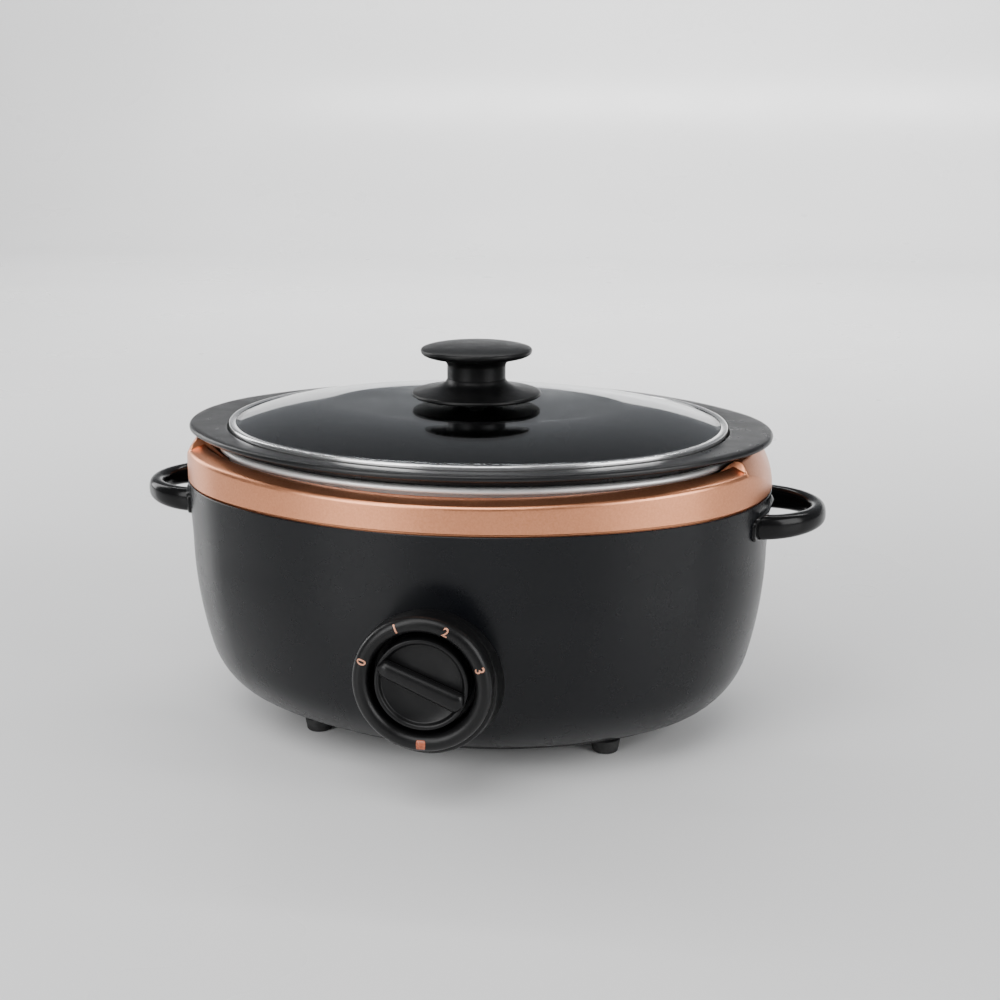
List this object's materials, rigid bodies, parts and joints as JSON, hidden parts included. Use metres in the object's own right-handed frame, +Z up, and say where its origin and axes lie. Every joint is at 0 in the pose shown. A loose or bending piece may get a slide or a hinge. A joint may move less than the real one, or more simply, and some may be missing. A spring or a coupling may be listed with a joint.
{
  "type": "slow cooker",
  "caption": "Oval slow cooker with a copper-coloured trim, a lift-out black pot, a domed glass lid, a round front dial and two side handles.",
  "frame": {"origin": "centre of the footprint, on the plane the feet stand on", "axes": "+X to the right as seen from the front, along the long axis; +Y to the back; +Z up. The dial faces -Y"},
  "size_m": [0.375, 0.269, 0.2065],
  "materials": {
    "body_black": "satin",
    "trim_copper": "satin",
    "well_steel": "satin",
    "cover_black": "matte",
    "plain_steel": "satin",
    "foot_rubber": "matte",
    "screw_steel": "satin",
    "handle_black": "gloss",
    "bezel_black": "gloss",
    "mark_copper": "satin",
    "lens_amber": "gloss",
    "lamp_glass": "gloss",
    "switch_body": "matte",
    "heater_ceramic": "matte",
    "thermostat_brass": "satin",
    "wire_brown": "matte",
    "wire_white": "matte",
    "wire_red": "matte",
    "wire_green": "matte",
    "pot_black": "satin",
    "lid_glass": "gloss",
    "rim_steel": "satin",
    "knob_black": "satin",
    "dial_black": "gloss"
  },
  "bodies": {
    "base": {"outer_shell": "body_black", "trim_band": "trim_copper", "heating_well": "well_steel", "base_plate": "cover_black", "heat_shield": "plain_steel", "foot_front_left": "foot_rubber", "foot_front_right": "foot_rubber", "foot_rear_left": "foot_rubber", "foot_rear_right": "foot_rubber", "foot_screws": "screw_steel", "left_handle": "handle_black", "right_handle": "handle_black", "handle_screws": "screw_steel", "control_bezel": "bezel_black", "bezel_screws": "screw_steel", "dial_marks": "mark_copper", "indicator_lens": "lens_amber", "neon_lamp": "lamp_glass", "rotary_switch": "switch_body", "heater_band": "heater_ceramic", "clamp_bolt": "screw_steel", "clamp_spring": "screw_steel", "thermostat": "thermostat_brass", "thermal_fuse": "heater_ceramic", "fuse_clip": "plain_steel", "terminal_block": "heater_ceramic", "terminal_screws": "thermostat_brass", "supply_leads": "wire_brown", "heater_leads": "wire_white", "switch_leads": "wire_red", "earth_wire": "wire_green", "cord_gland": "bezel_black", "well_stud": "screw_steel", "well_nut": "screw_steel"},
    "pot": {"pot": "pot_black"},
    "lid": {"lid_glass": "lid_glass", "lid_rim": "rim_steel", "lid_knob": "knob_black", "knob_base": "knob_black", "lid_screw": "screw_steel", "lid_washer": "plain_steel", "lid_seal": "foot_rubber"},
    "dial": {"control_knob": "dial_black", "knob_spindle": "screw_steel"}
  },
  "joints": [
    {"name": "pot_lift", "type": "slide", "parent": "base", "child": "pot", "axis": [0, 0, 1], "range_m": [0, 0.15]},
    {"name": "lid_lift", "type": "slide", "parent": "pot", "child": "lid", "axis": [0, 0, 1], "range_m": [0, 0.08]},
    {"name": "dial_turn", "type": "hinge", "parent": "base", "child": "dial", "pos_m": [0, -0.1195, 0.068], "axis": [0, 1, 0], "range_deg": [0, 141]}
  ]
}
